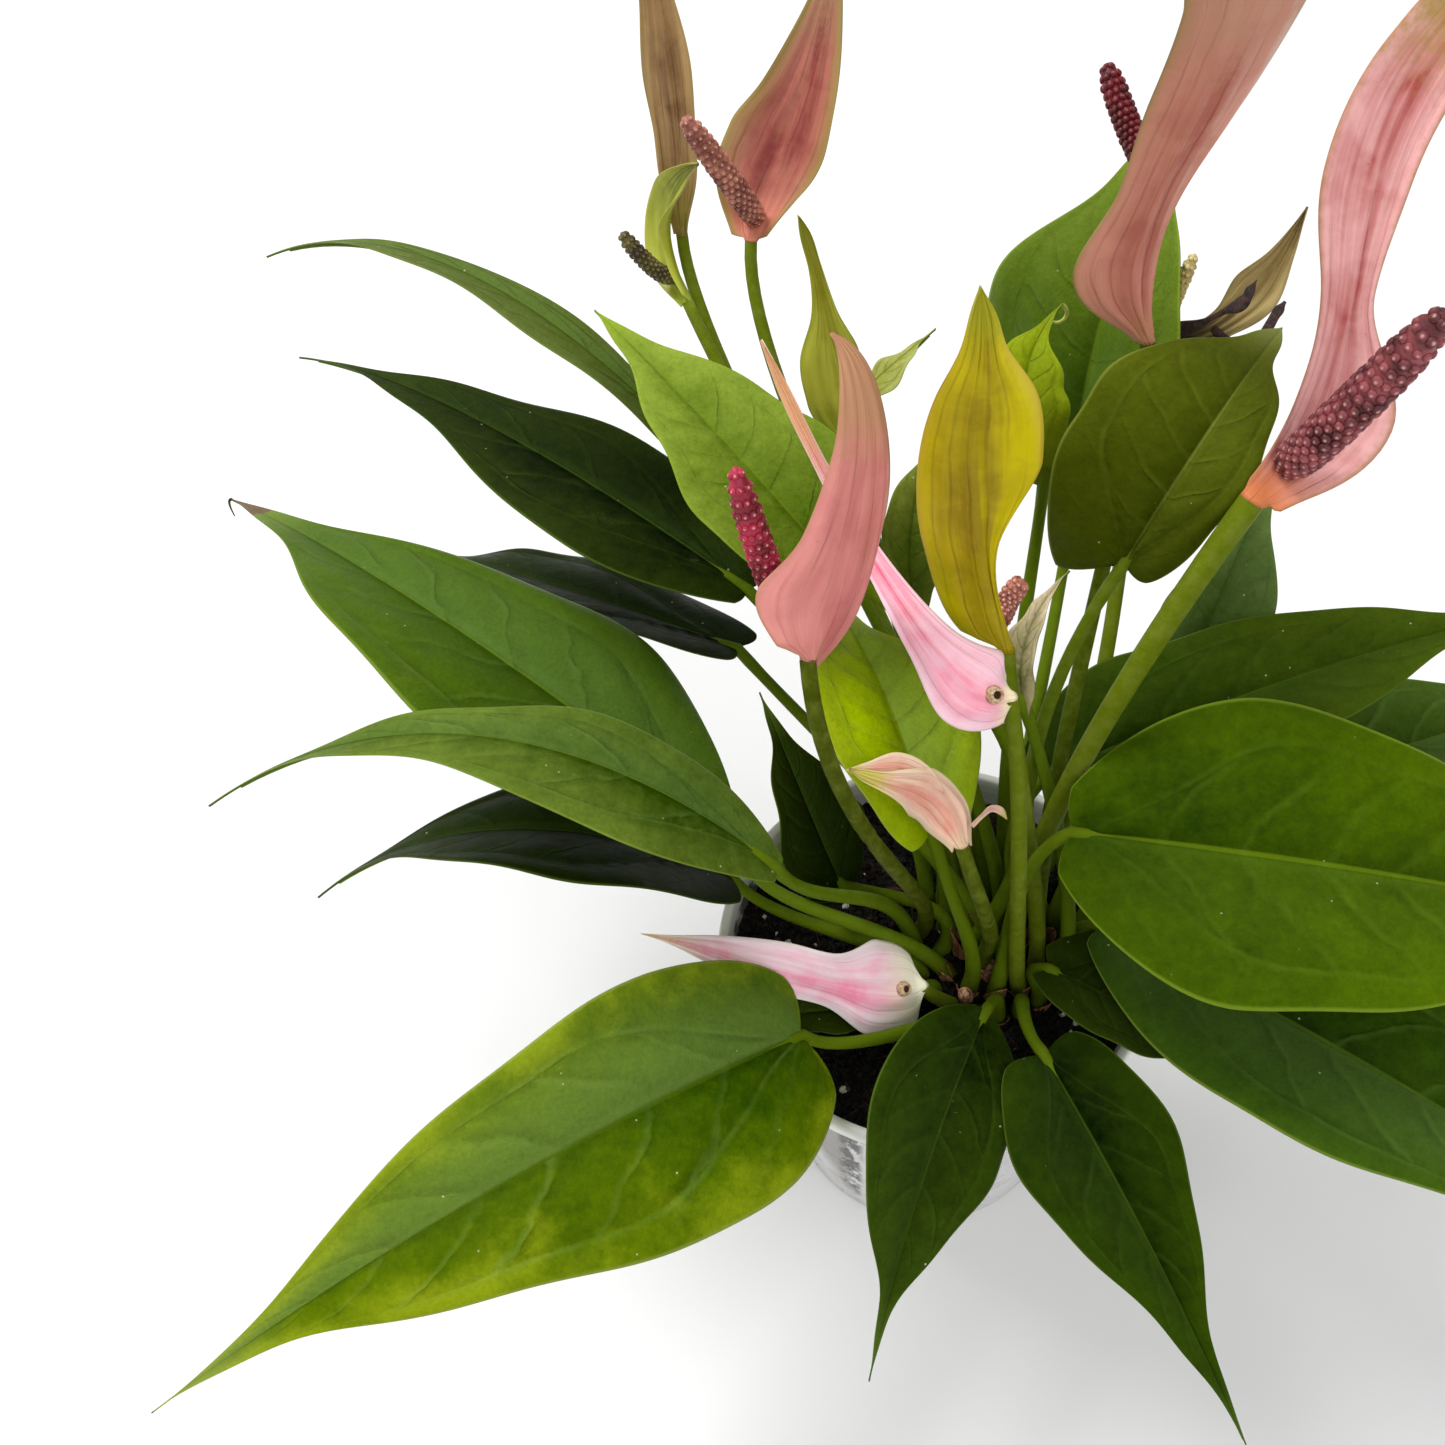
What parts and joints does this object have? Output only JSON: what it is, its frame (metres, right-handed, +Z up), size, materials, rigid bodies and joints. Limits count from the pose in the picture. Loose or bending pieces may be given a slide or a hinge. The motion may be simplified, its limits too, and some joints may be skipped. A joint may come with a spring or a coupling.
{
  "type": "potted anthurium",
  "caption": "Anthurium with long arching pointed leaves and pink hooded blooms on tall stems, rooted in dark mix in a thin white round pot.",
  "frame": {"origin": "centre of the pot's foot, where it rests on a surface", "axes": "+Z up out of the pot, -Y towards the front of the plant, +X to its right"},
  "size_m": [0.3586, 0.3086, 0.3022],
  "materials": {
    "pot_plastic": "thin moulded grower's pot, off-white, smudged",
    "potting_mix": "dark crumbly bark and peat with pale specks",
    "crown_sheath": "dry brown sheath",
    "leaf": "glossy green leaf",
    "stem_green": "smooth olive-green stem",
    "spathe_pink": "waxy pink spathe",
    "spathe_bronze": "waxy bronze-green spathe",
    "spathe_tan": "dry papery spathe",
    "spadix": "beaded with small florets"
  },
  "bodies": {
    "root": {"bloom_bronze_peduncle": "stem_green", "bloom_bronze_spadix": "spadix", "bloom_bronze_spathe": "spathe_bronze", "bloom_closed_spathe": "leaf", "bloom_dried_peduncle": "stem_green", "bloom_dried_spadix": "spadix", "bloom_dried_spathe": "spathe_tan", "bloom_front_peduncle": "stem_green", "bloom_front_spadix": "spadix", "bloom_front_spathe": "spathe_pink", "bloom_hood_spadix": "spadix", "bloom_hood_spathe": "leaf", "bloom_low_peduncle": "stem_green", "bloom_low_spathe": "spathe_pink", "bloom_low_stub": "crown_sheath", "bloom_right_peduncle": "stem_green", "bloom_right_spadix": "spadix", "bloom_right_spathe": "spathe_pink", "bloom_second_peduncle": "stem_green", "bloom_second_spathe": "spathe_pink", "bloom_second_stub": "crown_sheath", "bloom_tall_peduncle": "stem_green", "bloom_tall_spadix": "spadix", "bloom_tall_spathe": "spathe_pink", "bloom_tan_peduncle": "stem_green", "bloom_tan_spathe": "spathe_tan", "bloom_upper_left_peduncle": "stem_green", "bloom_upper_left_spadix": "spadix", "bloom_upper_left_spathe": "spathe_pink", "bloom_young_peduncle": "stem_green", "bloom_young_spathe": "spathe_pink", "crown": "crown_sheath", "leaf_back_curled": "leaf", "leaf_back_inner": "leaf", "leaf_back_large": "leaf", "leaf_centre_narrow": "leaf", "leaf_centre_yellow": "leaf", "leaf_front_left": "leaf", "leaf_front_narrow": "leaf", "leaf_front_right": "leaf", "leaf_left_dark": "leaf", "leaf_left_front": "leaf", "leaf_left_hidden": "leaf", "leaf_left_inner": "leaf", "leaf_left_large": "leaf", "leaf_left_light": "leaf", "leaf_left_low": "leaf", "leaf_left_short": "leaf", "leaf_left_top": "leaf", "leaf_olive": "leaf", "leaf_right_back": "leaf", "leaf_right_bright": "leaf", "leaf_right_low": "leaf", "leaf_right_small": "leaf", "leaf_right_under": "leaf", "leaf_right_upper": "leaf", "leaf_small_low": "leaf", "leaf_young": "leaf", "pot": "pot_plastic", "potting_mix": "potting_mix"}
  },
  "joints": []
}
